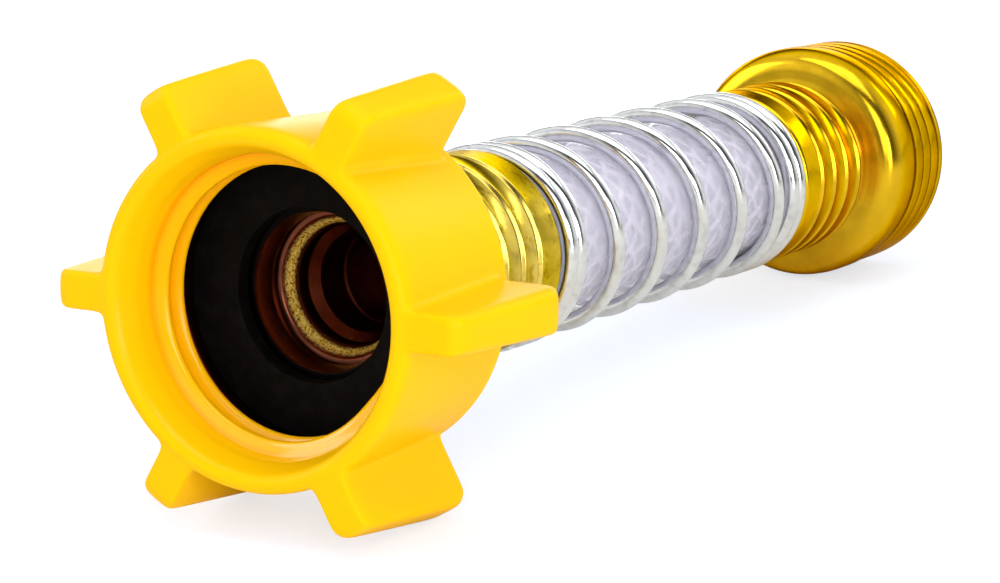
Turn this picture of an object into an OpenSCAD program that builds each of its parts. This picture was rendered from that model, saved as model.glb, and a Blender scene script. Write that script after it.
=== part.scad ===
// Flexible hose protector for a caravan water inlet.
// A winged swivel nut clamps a rubber washer on a flanged brass stem. A short braided hose,
// guarded by a steel coil spring, is crimped between that stem and a male-threaded brass outlet.
// The water axis is +X, from the inlet mouth to the outlet. The origin is the centre of the inlet thread.

/* [Grip nut] */
// Wall of the nut's ring around the thread
ring_wall = 2.85; // [2:0.05:6]
// How much smaller the ring's radius is at its back than at its mouth
ring_draft = 0.4; // [0:0.1:0.8]
// How far the nut reaches behind its web
nut_skirt = 1.88; // [1.2:0.01:8]
// Height of a wing above the ring at the mouth
wing_height = 4.9; // [2:0.1:12]
// How much further out a wing's tip stands at its back
wing_flare = 1.2; // [0:0.1:3]
// Thickness of one wing at the mouth
wing_thickness = 3.5; // [1.8:0.1:6]
// How much thicker a wing is at its back
wing_spread = 1; // [0:0.1:3]
// Number of wings around the ring
wing_count = 6; // [3:1:10]
// Rounding of a wing's front corner
wing_front_round = 1; // [0.3:0.1:1.5]
// Rounding of a wing's back corner
wing_back_round = 1.9; // [0.5:0.1:2.5]
// How far the wings stop short of the nut's back face
wing_setback = 1.6; // [0:0.1:4]
// Thickness of the nut's web behind the stem flange
web_thickness = 2.2; // [1.2:0.1:4]
// Wall of the nut around its back recess
recess_wall = 2.9; // [1.5:0.1:4]

/* [Inlet thread] */
// Outside diameter of the male hose thread that both ends are made for
thread_d = 26.9; // [24:0.1:34]
// Pitch of both hose threads
thread_pitch = 2.209; // [1.6:0.001:2.8]
// Depth of both hose threads
thread_depth = 1.4; // [0.8:0.05:1.6]
// How much wider the nut's mouth is than its thread, all round
mouth_flare = 0.45; // [0.2:0.05:1]
// Plain length inside the mouth, before the thread
mouth_land = 3.9; // [2.4:0.1:4.6]
// Depth of the step just inside the mouth's rim
mouth_chamfer = 1.8; // [1:0.1:2.2]
// Number of thread turns in the nut
inlet_turns = 2; // [1:1:4]

/* [Hose washer] */
// Outside diameter of the rubber washer
washer_d = 26.4; // [21:0.1:28]
// Hole through the rubber washer
washer_hole_d = 16.1; // [11:0.1:18]
// Thickness of the rubber washer
washer_thickness = 1.7; // [1.2:0.1:4]
// How far the washer lies behind the end of the nut's thread
washer_setback = 1.4; // [0:0.1:3]

/* [Inlet stem] */
// How much smaller the stem's flange is than the washer, all round
flange_inset = 0.2; // [0:0.1:0.8]
// Thickness of the stem's flange
flange_thickness = 1.8; // [1.2:0.1:3]
// Entry bore in the flange
entry_d = 14.8; // [12:0.1:15.4]
// Wall of the neck that the nut turns on
neck_wall = 1.5; // [1.2:0.1:2.2]
// How far the bore's relief groove lies behind the flange
relief_inset = 0.5; // [0.3:0.1:0.8]
// Width of the bore's relief groove
relief_width = 0.8; // [0.4:0.1:1]
// Depth of the bore's relief groove
relief_depth = 0.4; // [0.1:0.1:0.5]
// Length of the cone from the entry bore down to the water bore
cone_length = 1.5; // [1:0.1:3]
// Wall of both barbed tails under the barbs
tail_wall = 1.05; // [0.7:0.05:2]
// How much wider the bore is in the stem's neck than in its tail, all round
bore_step = 0.9; // [0.2:0.1:1.2]
// Height of a barb above the tail
barb_height = 0.45; // [0.2:0.05:0.6]

/* [Hose] */
// Inside diameter of the hose
hose_id = 12.5; // [10:0.1:15]
// Wall of the milky inner liner
liner_wall = 0.83; // [0.5:0.01:1.6]
// Wall of the clear outer cover
cover_wall = 0.5; // [0.4:0.05:1]
// Free length of the hose between the two ferrules
free_length = 56; // [40:1:120]

/* [Braid] */
// Number of yarns in each lay
yarn_count = 16; // [6:1:20]
// Width of one yarn
yarn_width = 0.9; // [0.4:0.1:1.2]
// Thickness of one yarn
yarn_thickness = 0.3; // [0.15:0.05:0.3]
// Length along the hose in which a yarn goes once around
yarn_lead = 53; // [30:1:80]

/* [Support spring] */
// Diameter of the spring wire
wire_d = 1.7; // [1:0.1:2]
// Pitch of the open coils
coil_pitch = 9.25; // [5:0.05:12]
// Number of closed turns at each end of the spring
closed_turns = 2; // [1:0.5:4]
// Where the wire starts around the hose, in degrees from the side
coil_start = 248; // [0:1:360]

/* [Ferrules] */
// Wall of both crimped ferrules
ferrule_wall = 1.4; // [0.9:0.1:2.2]
// Length of the ferrule behind the nut
inlet_ferrule_length = 22.2; // [20:0.1:30]
// Length of the ferrule at the outlet
outlet_ferrule_length = 15; // [12:0.1:24]
// Thickness of a ferrule's end wall
ferrule_lip = 1.2; // [0.8:0.1:1.6]
// Depth of a crimped groove
crimp_depth = 0.45; // [0.2:0.05:0.6]
// Width of a crimped groove
crimp_width = 1; // [0.6:0.1:1.4]
// Distance between crimped grooves
crimp_spacing = 3.2; // [2.4:0.1:3.4]
// Distance from a ferrule's open end to its first groove
crimp_first = 4.4; // [2:0.1:4.6]

/* [Outlet fitting] */
// Length of the neck between the ferrule and the collar
outlet_neck = 1.6; // [1:0.1:10]
// How far the outlet's collar stands above its thread
collar_rise = 0.2; // [0:0.1:4]
// Width of the outlet's collar
collar_width = 3.9; // [3:0.1:8]
// Rounding of the collar's edge on the hose side
collar_round = 1.5; // [0.4:0.1:2.4]
// Number of thread turns on the outlet
outlet_turns = 4; // [2:1:6]
// Wall of the outlet's mouth under its thread
outlet_wall = 3.05; // [1.5:0.05:5]
// Depth of the outlet's wide mouth
outlet_mouth_depth = 6; // [2:0.1:8]
// Plain length at the tip of the outlet thread
outlet_lead = 1.7; // [0.8:0.1:3]

/* [Hidden] */
$fn = 96;

// Colours
nut_yellow = [1, 0.84, 0.05];
rubber_black = [0.07, 0.07, 0.07];
brass_gold = [0.83, 0.65, 0.22];
pvc_lilac = [0.88, 0.86, 0.93];
yarn_white = [0.96, 0.96, 0.97];
steel_bright = [0.82, 0.84, 0.88];

// Clearances
loose = 0.3;            // between rubber, plastic and turning faces
thread_gap = 0.2;       // between the nut's thread and the male thread it is made for
seat_gap = 0.1;         // between the washer and the stem's flange
fit_gap = 0.05;         // radial fit of the hose on its barbs and in its ferrules
yarn_gap = 0.1;         // radial gap that each yarn lay has on either side
yarn_sag = 0.06;        // how far a yarn's flat sides dip below its radius
lip_gap = 0.03;         // ferrule end wall in its groove
edge = 0.4;             // small edge breaks on the brass
nut_edge = 0.8;         // rounded edges of the moulded nut
flank_flat = thread_pitch / 8;   // flat on each thread crest and root

// Places along the water axis. The origin lies midway between the inlet thread's first and last crests.
flank = (thread_pitch - 2 * flank_flat) / 2;
mouth_x = -(mouth_land + flank_flat * 1.5 + flank + (inlet_turns - 1) * thread_pitch / 2);
thread_x0 = mouth_x + mouth_land;
thread_end = thread_x0 + inlet_turns * thread_pitch;
washer_x0 = thread_end + loose + washer_setback;
washer_x1 = washer_x0 + washer_thickness;
flange_x0 = washer_x1 + seat_gap;
flange_x1 = flange_x0 + flange_thickness;
web_x0 = flange_x1 + loose;
web_x1 = web_x0 + web_thickness;
nut_x1 = web_x1 + nut_skirt;
ferrule_a0 = web_x1 + loose;
ferrule_a1 = ferrule_a0 + inlet_ferrule_length;
ferrule_b0 = ferrule_a1 + free_length;
ferrule_b1 = ferrule_b0 + outlet_ferrule_length;
collar_x0 = ferrule_b1 + outlet_neck;
collar_x1 = collar_x0 + collar_width;
outlet_thread_x0 = collar_x1 + edge;
outlet_thread_end = outlet_thread_x0 + outlet_turns * thread_pitch;
outlet_x1 = outlet_thread_end + outlet_lead;

// Radii that follow from the sizes above
outlet_crest_r = thread_d / 2;
outlet_root_r = outlet_crest_r - thread_depth;
inlet_root_r = outlet_crest_r + thread_gap;
inlet_crest_r = inlet_root_r - thread_depth;
mouth_r = inlet_root_r + mouth_flare;
ring_r0 = inlet_root_r + ring_wall;
ring_r1 = ring_r0 - ring_draft;
cavity_r = washer_d / 2 + loose;
entry_r = entry_d / 2;
neck_r = entry_r + neck_wall;
web_bore_r = neck_r + loose;
liner_r0 = hose_id / 2;
liner_r1 = liner_r0 + liner_wall;
inner_yarn_r = liner_r1 + yarn_gap + yarn_sag + yarn_thickness / 2;
outer_yarn_r = inner_yarn_r + yarn_thickness + yarn_gap + yarn_sag;
cover_r0 = outer_yarn_r + yarn_thickness / 2 + yarn_gap;
cover_r1 = cover_r0 + cover_wall;
ferrule_r0 = cover_r1 + fit_gap;
ferrule_r1 = ferrule_r0 + ferrule_wall;
barb_r = liner_r0 - fit_gap;
tail_r = barb_r - barb_height;
bore_r = tail_r - tail_wall;
groove_rise = 1.7;      // from a barbed tail up to the groove that takes the ferrule's end wall
shoulder_rise = 0.8;    // from that groove up to the shoulder beside it
groove_r = tail_r + groove_rise;
shoulder_r = groove_r + shoulder_rise;
coil_r = cover_r1 + yarn_gap + wire_d / 2;

// How far the hose goes into each ferrule
shoulder_length = 1.2;
hose_x0 = ferrule_a0 + ferrule_lip + shoulder_length + loose;
hose_x1 = ferrule_b1 - ferrule_lip - shoulder_length - loose;
tail_tip_inset = 1.4;   // the barbed tails stop this far inside the open end of the ferrules

// Turns a shape drawn around Z so that its Z axis lies along the water axis
module along_water() {
    rotate([90, 0, 90]) children();
}

// A round piece from its outline, a list of [radius, distance along the axis]
module turned(outline) {
    along_water() rotate_extrude() polygon(outline);
}

// Thread ridges as rings: the outline from root to crest and back, once per turn
function thread_rings(start, turns, root_r, crest_r) =
    [for (i = [0 : turns - 1]) let (s = start + i * thread_pitch) each [
        [root_r, s],
        [root_r, s + flank_flat],
        [crest_r, s + flank_flat + flank],
        [crest_r, s + 2 * flank_flat + flank]
    ]];

// Grooves pressed into a ferrule, as an outline that runs away from its open end
function crimp_count(length) =
    1 + floor((length - ferrule_lip - shoulder_length - loose - crimp_first - crimp_width) / crimp_spacing);
function crimps(radius, depth, length) =
    [for (i = [0 : crimp_count(length) - 1]) let (u = crimp_first + i * crimp_spacing) each [
        [radius, u - crimp_width / 2],
        [radius - depth, u - crimp_width / 5],
        [radius - depth, u + crimp_width / 5],
        [radius, u + crimp_width / 2]
    ]];

hose_squeeze = crimp_depth * 0.6;   // how deep a crimp presses into the hose cover

// Barbs of a hose tail, as an outline that runs from the tail's tip towards its shoulder
function barbs(length) =
    let (count = floor(length / crimp_spacing))
    [for (i = [0 : count - 1]) let (u = i * crimp_spacing) each [
        [tail_r, u + 0.1],
        [barb_r, u + crimp_spacing * 0.72],
        [barb_r, u + crimp_spacing * 0.85],
        [tail_r, u + crimp_spacing * 0.9]
    ]];

// Places an outline so that its start is at x and it runs up or down the axis
function placed(outline, x, way) = [for (p = outline) [p[0], x + way * p[1]]];
function reversed(list) = [for (i = [len(list) - 1 : -1 : 0]) list[i]];

// Quarter of a circle, as outline points
function corner(cr, cx, radius, from, to) =
    [for (i = [0 : 6]) let (a = from + (to - from) * i / 6)
        [cr + radius * cos(a), cx + radius * sin(a)]];

// One wing, standing on the side of the ring. Its tip slopes, its two outer corners are rounded
// and it grows thicker towards its back.
module wing() {
    length = nut_x1 - mouth_x - wing_setback;
    front_tip = ring_r0 + wing_height;
    back_tip = front_tip + wing_flare;
    root = (inlet_root_r + ring_r1) / 2;
    f = wing_front_round;
    b = wing_back_round;
    outline = concat(
        [[root, 0]],
        corner(front_tip - f, f, f, -90, 0),
        corner(back_tip - b, length - b, b, 0, 90),
        [[root, length]]
    );
    half_front = wing_thickness / 2;
    half_back = half_front + wing_spread / 2;
    translate([mouth_x, 0, 0])
        intersection() {
            rotate([90, 0, 0])
                translate([0, 0, -half_back])
                    linear_extrude(2 * half_back) polygon([for (p = outline) [p[1], p[0]]]);
            linear_extrude(back_tip)
                polygon([[0, -half_front], [length, -half_back], [length, half_back], [0, half_front]]);
        }
}

module grip_nut() {
    recess_r = ring_r1 - recess_wall;
    outline = concat(
        corner(ring_r0 - nut_edge, mouth_x + nut_edge, nut_edge, 0, -90),
        reversed(corner(mouth_r + edge, mouth_x + edge, edge, 180, 270)),
        [[inlet_root_r, mouth_x + mouth_chamfer]],
        thread_rings(thread_x0, inlet_turns, inlet_root_r, inlet_crest_r),
        [[inlet_root_r, thread_end], [cavity_r, washer_x0]],
        [[cavity_r, web_x0], [web_bore_r, web_x0], [web_bore_r, web_x1], [recess_r, web_x1]],
        [[recess_r, nut_x1 - edge], [recess_r + edge, nut_x1]],
        corner(ring_r1 - nut_edge, nut_x1 - nut_edge, nut_edge, 90, 0)
    );
    color(nut_yellow) {
        turned(outline);
        for (i = [0 : wing_count - 1])
            rotate([i * 360 / wing_count - 90, 0, 0]) wing();
    }
}

module hose_washer() {
    r0 = washer_hole_d / 2;
    r1 = washer_d / 2;
    color(rubber_black)
        turned([[r0, washer_x0 + edge], [r0 + edge, washer_x0], [r1 - edge, washer_x0],
            [r1, washer_x0 + edge], [r1, washer_x1 - edge], [r1 - edge, washer_x1],
            [r0 + edge, washer_x1], [r0, washer_x1 - edge]]);
}

module inlet_stem() {
    neck_bore_r = bore_r + bore_step;
    flange_r = washer_d / 2 - flange_inset;
    tip_x = ferrule_a1 - tail_tip_inset;
    shoulder_x0 = ferrule_a0 + ferrule_lip;
    shoulder_x1 = shoulder_x0 + shoulder_length;
    relief_x = flange_x1 + relief_inset;
    cone_x = relief_x + relief_width;
    outline = concat(
        [[entry_r, flange_x0 + edge], [entry_r + edge, flange_x0], [flange_r - edge, flange_x0]],
        [[flange_r, flange_x0 + edge], [flange_r, flange_x1], [neck_r, flange_x1]],
        [[neck_r, ferrule_a0 - lip_gap], [groove_r, ferrule_a0 - lip_gap]],
        [[groove_r, shoulder_x0 + lip_gap], [shoulder_r, shoulder_x0 + lip_gap]],
        [[shoulder_r, shoulder_x1], [tail_r, shoulder_x1]],
        reversed(placed(barbs(tip_x - shoulder_x1 - edge), tip_x, -1)),
        [[tail_r - edge / 2, tip_x]],
        [[bore_r, tip_x], [bore_r, shoulder_x1], [neck_bore_r, shoulder_x1 + bore_r - neck_bore_r]],
        [[neck_bore_r, cone_x + cone_length], [entry_r - relief_depth, cone_x]],
        [[entry_r + relief_depth, cone_x], [entry_r + relief_depth, relief_x], [entry_r, relief_x]]
    );
    color(brass_gold) turned(outline);
}

// A crimped sleeve, drawn from its open end at 0 towards its end wall
function ferrule_outline(length) =
    concat(
        [[ferrule_r0, 0], [ferrule_r1 - edge, 0], [ferrule_r1, edge]],
        crimps(ferrule_r1, crimp_depth, length),
        [[ferrule_r1, length - edge], [ferrule_r1 - edge, length]],
        [[groove_r + lip_gap, length], [groove_r + lip_gap, length - ferrule_lip]],
        [[ferrule_r0, length - ferrule_lip]],
        reversed(crimps(ferrule_r0, hose_squeeze, length))
    );

module inlet_ferrule() {
    color(brass_gold) turned(placed(ferrule_outline(inlet_ferrule_length), ferrule_a1, -1));
}

module outlet_ferrule() {
    color(brass_gold) turned(placed(ferrule_outline(outlet_ferrule_length), ferrule_b0, 1));
}

module hose_liner() {
    color(pvc_lilac)
        turned([[liner_r0, hose_x0], [liner_r1, hose_x0], [liner_r1, hose_x1], [liner_r0, hose_x1]]);
}

module hose_cover() {
    outline = concat(
        [[cover_r0, hose_x0], [cover_r1, hose_x0]],
        reversed(placed(crimps(cover_r1, hose_squeeze, inlet_ferrule_length), ferrule_a1, -1)),
        placed(crimps(cover_r1, hose_squeeze, outlet_ferrule_length), ferrule_b0, 1),
        [[cover_r1, hose_x1], [cover_r0, hose_x1]]
    );
    color(pvc_lilac) turned(outline);
}

// One bar swept along a path. Each ring is a closed list of points, and the rings follow each other.
// lean[j] says which diagonal splits the bar's j-th side.
module swept(rings, lean) {
    sides = len(rings[0]);
    last = len(rings) - 1;
    points = [for (ring = rings) each ring];
    walls = [for (i = [0 : last - 1], j = [0 : sides - 1])
        let (a = i * sides + j, b = i * sides + (j + 1) % sides)
        each lean[j] > 0
            ? [[a, b, b + sides], [a, b + sides, a + sides]]
            : [[a, b, a + sides], [b, b + sides, a + sides]]];
    caps = [[for (j = [sides - 1 : -1 : 0]) j], [for (j = [0 : sides - 1]) last * sides + j]];
    polyhedron(points, concat(walls, caps));
}

// One lay of flat yarns, all turning the same way between liner and cover
module yarn_lay(radius, hand) {
    steps = ceil((hose_x1 - hose_x0) / yarn_lead * 20);
    half_turn = yarn_width / 2 / radius * 180 / PI / cos(atan(2 * PI * radius / yarn_lead));
    r0 = radius - yarn_thickness / 2;
    r1 = radius + yarn_thickness / 2;
    spread = min(half_turn, 180 / yarn_count - 1);
    for (k = [0 : yarn_count - 1])
        swept([for (i = [0 : steps])
            let (x = hose_x0 + (hose_x1 - hose_x0) * i / steps,
                a = k * 360 / yarn_count + hand * 360 * (x - hose_x0) / yarn_lead)
            [[x, r0 * cos(a - spread), r0 * sin(a - spread)],
                [x, r0 * cos(a + spread), r0 * sin(a + spread)],
                [x, r1 * cos(a + spread), r1 * sin(a + spread)],
                [x, r1 * cos(a - spread), r1 * sin(a - spread)]]],
            [-hand, hand, hand, -hand]);
}

module braid_inner_lay() {
    color(yarn_white) yarn_lay(inner_yarn_r, 1);
}

module braid_outer_lay() {
    color(yarn_white) yarn_lay(outer_yarn_r, -1);
}

// Place along the axis of the wire's centre after so many turns: closed, open, then closed again
spring_x0 = ferrule_a1 + loose + wire_d / 2;
spring_x1 = ferrule_b0 - loose - wire_d / 2;
closed_pitch = wire_d + 0.1;
closed_length = closed_turns * closed_pitch;
open_turns = (spring_x1 - spring_x0 - 2 * closed_length) / coil_pitch;
function coil_x(turn) =
    turn < closed_turns ? spring_x0 + turn * closed_pitch
    : turn < closed_turns + open_turns ? spring_x0 + closed_length + (turn - closed_turns) * coil_pitch
    : spring_x1 - (open_turns + 2 * closed_turns - turn) * closed_pitch;

module support_spring() {
    turns = open_turns + 2 * closed_turns;
    steps = ceil(turns * 24);
    sides = 8;
    color(steel_bright)
        swept([for (i = [0 : steps])
            let (turn = turns * i / steps, a = coil_start + 360 * turn)
            [for (j = [0 : sides - 1]) let (b = 360 * j / sides, r = coil_r - wire_d / 2 * cos(b))
                [coil_x(turn) + wire_d / 2 * sin(b), r * cos(a), r * sin(a)]]],
            [for (j = [0 : sides - 1]) 1]);
}

module outlet_fitting() {
    collar_r = outlet_crest_r + collar_rise;
    wide_r = outlet_root_r - outlet_wall;
    wide_x0 = outlet_x1 - outlet_mouth_depth;
    tip_x = ferrule_b0 + tail_tip_inset;
    shoulder_x1 = ferrule_b1 - ferrule_lip;
    shoulder_x0 = shoulder_x1 - shoulder_length;
    collar_neck_r = shoulder_r + edge;
    outline = concat(
        [[bore_r, tip_x], [tail_r - edge / 2, tip_x]],
        placed(barbs(shoulder_x0 - tip_x - edge), tip_x, 1),
        [[tail_r, shoulder_x0], [shoulder_r, shoulder_x0], [shoulder_r, shoulder_x1 - lip_gap]],
        [[groove_r, shoulder_x1 - lip_gap], [groove_r, ferrule_b1 + lip_gap]],
        [[collar_neck_r, ferrule_b1 + lip_gap], [collar_neck_r, collar_x0 - edge]],
        [[collar_neck_r + edge, collar_x0]],
        corner(collar_r - collar_round, collar_x0 + collar_round, collar_round, -90, 0),
        [[collar_r, collar_x1 - edge], [collar_r - edge, collar_x1], [outlet_root_r, collar_x1]],
        thread_rings(outlet_thread_x0, outlet_turns, outlet_root_r, outlet_crest_r),
        [[outlet_root_r, outlet_thread_end], [outlet_root_r, outlet_x1 - edge]],
        [[outlet_root_r - edge, outlet_x1]],
        [[wide_r + edge, outlet_x1], [wide_r, outlet_x1 - edge], [wide_r, wide_x0]],
        [[bore_r, wide_x0 - (wide_r - bore_r)]]
    );
    color(brass_gold) turned(outline);
}

grip_nut();
hose_washer();
inlet_stem();
inlet_ferrule();
hose_liner();
braid_inner_lay();
braid_outer_lay();
hose_cover();
support_spring();
outlet_ferrule();
outlet_fitting();
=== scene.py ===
from math import atan2, ceil, cos, pi, radians, sin, sqrt

import bmesh
import bpy
from bpy.props import FloatProperty, FloatVectorProperty, IntProperty, PointerProperty
from mathutils import Matrix, Vector


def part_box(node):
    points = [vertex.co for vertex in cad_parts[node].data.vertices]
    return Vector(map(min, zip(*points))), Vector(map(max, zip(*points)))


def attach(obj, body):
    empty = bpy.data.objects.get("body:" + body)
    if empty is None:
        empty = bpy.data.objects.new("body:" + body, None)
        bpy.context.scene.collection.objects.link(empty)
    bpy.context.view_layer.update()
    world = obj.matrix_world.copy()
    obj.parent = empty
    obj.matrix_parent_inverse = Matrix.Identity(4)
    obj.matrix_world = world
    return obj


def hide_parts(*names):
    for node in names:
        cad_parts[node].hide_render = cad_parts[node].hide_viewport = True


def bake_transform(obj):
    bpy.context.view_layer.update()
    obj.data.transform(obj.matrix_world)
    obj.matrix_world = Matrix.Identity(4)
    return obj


bl_info = {
    "name": "Flexible hose protector",
    "version": (1, 0, 0),
    "blender": (4, 5, 0),
    "location": "View3D > Sidebar > Hose protector",
    "description": "Builds a short braided hose link with a winged swivel nut, brass ends and a coil spring",
    "category": "Object",
}

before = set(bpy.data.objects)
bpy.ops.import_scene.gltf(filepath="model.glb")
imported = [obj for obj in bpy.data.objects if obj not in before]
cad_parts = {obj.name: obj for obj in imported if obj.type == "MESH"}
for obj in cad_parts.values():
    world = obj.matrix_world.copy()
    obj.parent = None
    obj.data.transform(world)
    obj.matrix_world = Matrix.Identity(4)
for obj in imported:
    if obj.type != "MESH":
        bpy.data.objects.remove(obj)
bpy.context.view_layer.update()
MM = 0.001

# Places along the water axis, in millimetres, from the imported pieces
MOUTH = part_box("grip_nut")[0].x / MM
NUT_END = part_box("grip_nut")[1].x / MM
FERRULE_A = [c.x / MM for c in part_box("inlet_ferrule")]
FERRULE_B = [c.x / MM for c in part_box("outlet_ferrule")]
HOSE = [c.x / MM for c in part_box("hose_cover")]
OUTLET_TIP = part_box("outlet_fitting")[1].x / MM
OUTLET_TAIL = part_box("outlet_fitting")[0].x / MM
MIDDLE = (FERRULE_A[1] + FERRULE_B[0]) / 2
WING_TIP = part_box("grip_nut")[1].y / MM
FERRULE_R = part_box("inlet_ferrule")[1].z / MM
COVER_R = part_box("hose_cover")[1].z / MM
COLLAR_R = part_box("outlet_fitting")[1].z / MM
COIL_OUTER_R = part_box("support_spring")[1].z / MM

# The hose, the braid and the spring are made as two halves, one for each hinge
HALVES = (("inlet", HOSE[0], MIDDLE), ("outlet", MIDDLE, HOSE[1]))

# Radii that both crimped ends share, in millimetres
TAIL_R = 5.75
TAIL_TIP_R = 5.5
BARB_R = 6.2
GRIP_GROOVE_R = 7.45
GRIP_SHOULDER_R = 8.25
SLEEVE_LIP_R = 7.5

# How finely round things are cut
COLUMNS_PER_WING = 16
THREAD_STEPS = 96
TUBE_STEPS = 56
COIL_STEPS = 72
WIRE_SIDES = 20

# Corners of a flat yarn's section: shares of half its width, and of its thickness
YARN_SECTION = (
    (-1.0, -0.35), (-0.5, -0.5), (0.5, -0.5), (1.0, -0.35),
    (1.0, 0.1), (0.5, 0.5), (-0.5, 0.5), (-1.0, 0.1),
)

# Lamps: name, place and size in metres, and power in watts. All of them face LAMP_AIM
LAMP_AIM = (0.055, 0, -0.005)
LAMPS = (
    ("overhead_lamp", (-0.02, -0.08, 0.45), (0.5, 0.35), 1.22),
    ("back_lamp", (0.52, 0.20, 0.12), (0.5, 0.14), 0.8),
    ("right_lamp", (-0.16, -0.42, 0.06), (0.16, 0.16), 0.55),
    ("glint_lamp", (0.50, -0.19, 0.25), (0.07, 0.2), 0.16),
    ("left_lamp", (-0.15, 0.42, 0.20), (0.4, 0.25), 0.9),
    ("front_lamp", (-0.36, -0.30, 0.16), (0.3, 0.3), 0.92),
)


def length(label, text, default):
    """A length property, in metres, from a default in millimetres."""
    return FloatProperty(
        name=label, description=text, default=default * MM, min=0.0, precision=5, unit="LENGTH"
    )


def colour(label, text, default):
    """A colour property, from its red, green and blue."""
    return FloatVectorProperty(
        name=label, description=text, default=(*default, 1), size=4, min=0, max=1, subtype="COLOR"
    )


class NutSizes(bpy.types.PropertyGroup):
    """Sizes of the winged swivel nut."""

    front_radius: length("Front radius", "Ring radius at the mouth", 16.5)
    back_radius: length("Back radius", "Ring radius at the back", 16.1)
    mouth_radius: length("Mouth radius", "Radius of the mouth's rounded rim", 14.1)
    thread_root: length("Thread root", "Radius of the thread's valley", 13.6)
    thread_crest: length("Thread crest", "Radius of the thread's crest", 12.4)
    wing_front: length("Wing front", "Radius of a wing's tip at the mouth", 21.6)
    wing_back: length("Wing back", "Radius of a wing's tip at its back, before rounding", 23.0)
    wing_half: length("Wing half thickness", "Half the thickness of a wing at the mouth", 1.78)
    wing_spread: FloatProperty(
        name="Wing spread", description="How much thicker a wing is at its back", default=0.28
    )
    fillet: length("Fillet", "Fillet where a wing meets the ring", 1.25)
    washer_hole: length("Washer hole", "Radius of the hole in the washer", 8.05)
    wings: IntProperty(name="Wings", description="Number of wings", default=6, min=2, max=12)


class BrassSizes(bpy.types.PropertyGroup):
    """Sizes of the brass ends."""

    groove_depth: length("Groove depth", "Depth of a crimped groove", 0.34)
    groove_pitch: length("Groove pitch", "Distance between crimped grooves", 3.2)
    first_groove: length("First groove", "Distance from the open end to the first groove", 4.4)
    far_pitch: length("Far groove pitch", "Distance between crimped grooves of the outlet sleeve", 3.3)
    far_first: length("Far first groove", "The outlet sleeve's open end to its first groove", 3.9)
    entry: length("Entry", "Radius of the bore in the stem's flange", 7.4)
    neck_radius: length("Neck radius", "Radius of the neck behind the collar", 8.7)
    thread_root: length("Thread root", "Radius of the outlet thread's valley", 13.38)
    thread_crest: length("Thread crest", "Radius of the outlet thread's crest", 13.45)
    thread_pitch: length("Thread pitch", "Pitch of the hose thread", 2.209)
    outlet_mouth: length("Outlet mouth", "Radius of the outlet's mouth", 9.0)
    bore: length("Bore", "Radius of the water bore", 4.7)


class HoseSizes(bpy.types.PropertyGroup):
    """Sizes of the hose and its braid."""

    inner_radius: length("Inner radius", "Inside radius of the hose", 6.25)
    liner_radius: length("Liner radius", "Outside radius of the liner", 6.98)
    cover_inner: length("Cover inner radius", "Inside radius of the clear cover", 8.1)
    braid_radius: length("Braid radius", "Middle radius of the braid", 7.62)
    yarn_width: length("Yarn width", "Width of one yarn", 0.6)
    yarn_thickness: length("Yarn thickness", "Thickness of one yarn", 0.28)
    yarn_lead: length("Yarn lead", "Length in which a yarn goes once around", 53.0)
    yarns: IntProperty(name="Yarns", description="Yarns in each lay", default=16, min=4, max=48)


class SpringSizes(bpy.types.PropertyGroup):
    """Sizes of the support spring."""

    wire: length("Wire", "Diameter of the wire", 1.7)
    open_pitch: length("Open pitch", "Pitch of the open coils", 9.25)
    closed_turns: IntProperty(
        name="Closed turns", description="Closed turns at each end", default=2, min=1, max=5
    )
    start_angle: FloatProperty(
        name="Start angle", description="Where the wire starts", default=radians(248), subtype="ANGLE"
    )


class Finishes(bpy.types.PropertyGroup):
    """Colours of the materials."""

    yellow: colour("Nut yellow", "Moulded plastic of the nut", (1.0, 0.585, 0.0015))
    rubber: colour("Washer black", "Rubber of the washer", (0.0022, 0.0020, 0.0020))
    brass: colour("Brass", "Turned brass", (0.93, 0.58, 0.02))
    pale_brass: colour("Pale brass", "Rubbed brass of the sleeve behind the nut", (0.96, 0.74, 0.15))
    clear: colour("Clear cover", "Clear plastic of the hose", (0.88, 0.85, 0.96))
    yarn: colour("Yarn", "Reinforcing yarn", (0.84, 0.81, 0.93))
    steel: colour("Spring steel", "Bright plated wire", (0.81, 0.83, 0.83))
    floor: colour("Floor", "Floor and backdrop", (0.92, 0.92, 0.92))


class HoseProtector(bpy.types.PropertyGroup):
    """All the sizes and colours of the hose protector."""

    nut: PointerProperty(type=NutSizes)
    brass: PointerProperty(type=BrassSizes)
    hose: PointerProperty(type=HoseSizes)
    spring: PointerProperty(type=SpringSizes)
    finish: PointerProperty(type=Finishes)


# ---------------------------------------------------------------- mesh work


def deselect():
    """Leaves edit mode with nothing selected."""
    if bpy.context.mode != "OBJECT":
        bpy.ops.object.mode_set(mode="OBJECT")
    bpy.ops.object.select_all(action="DESELECT")


def only(obj):
    """Selects one object and makes it active."""
    deselect()
    obj.select_set(True)
    bpy.context.view_layer.objects.active = obj


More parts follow.
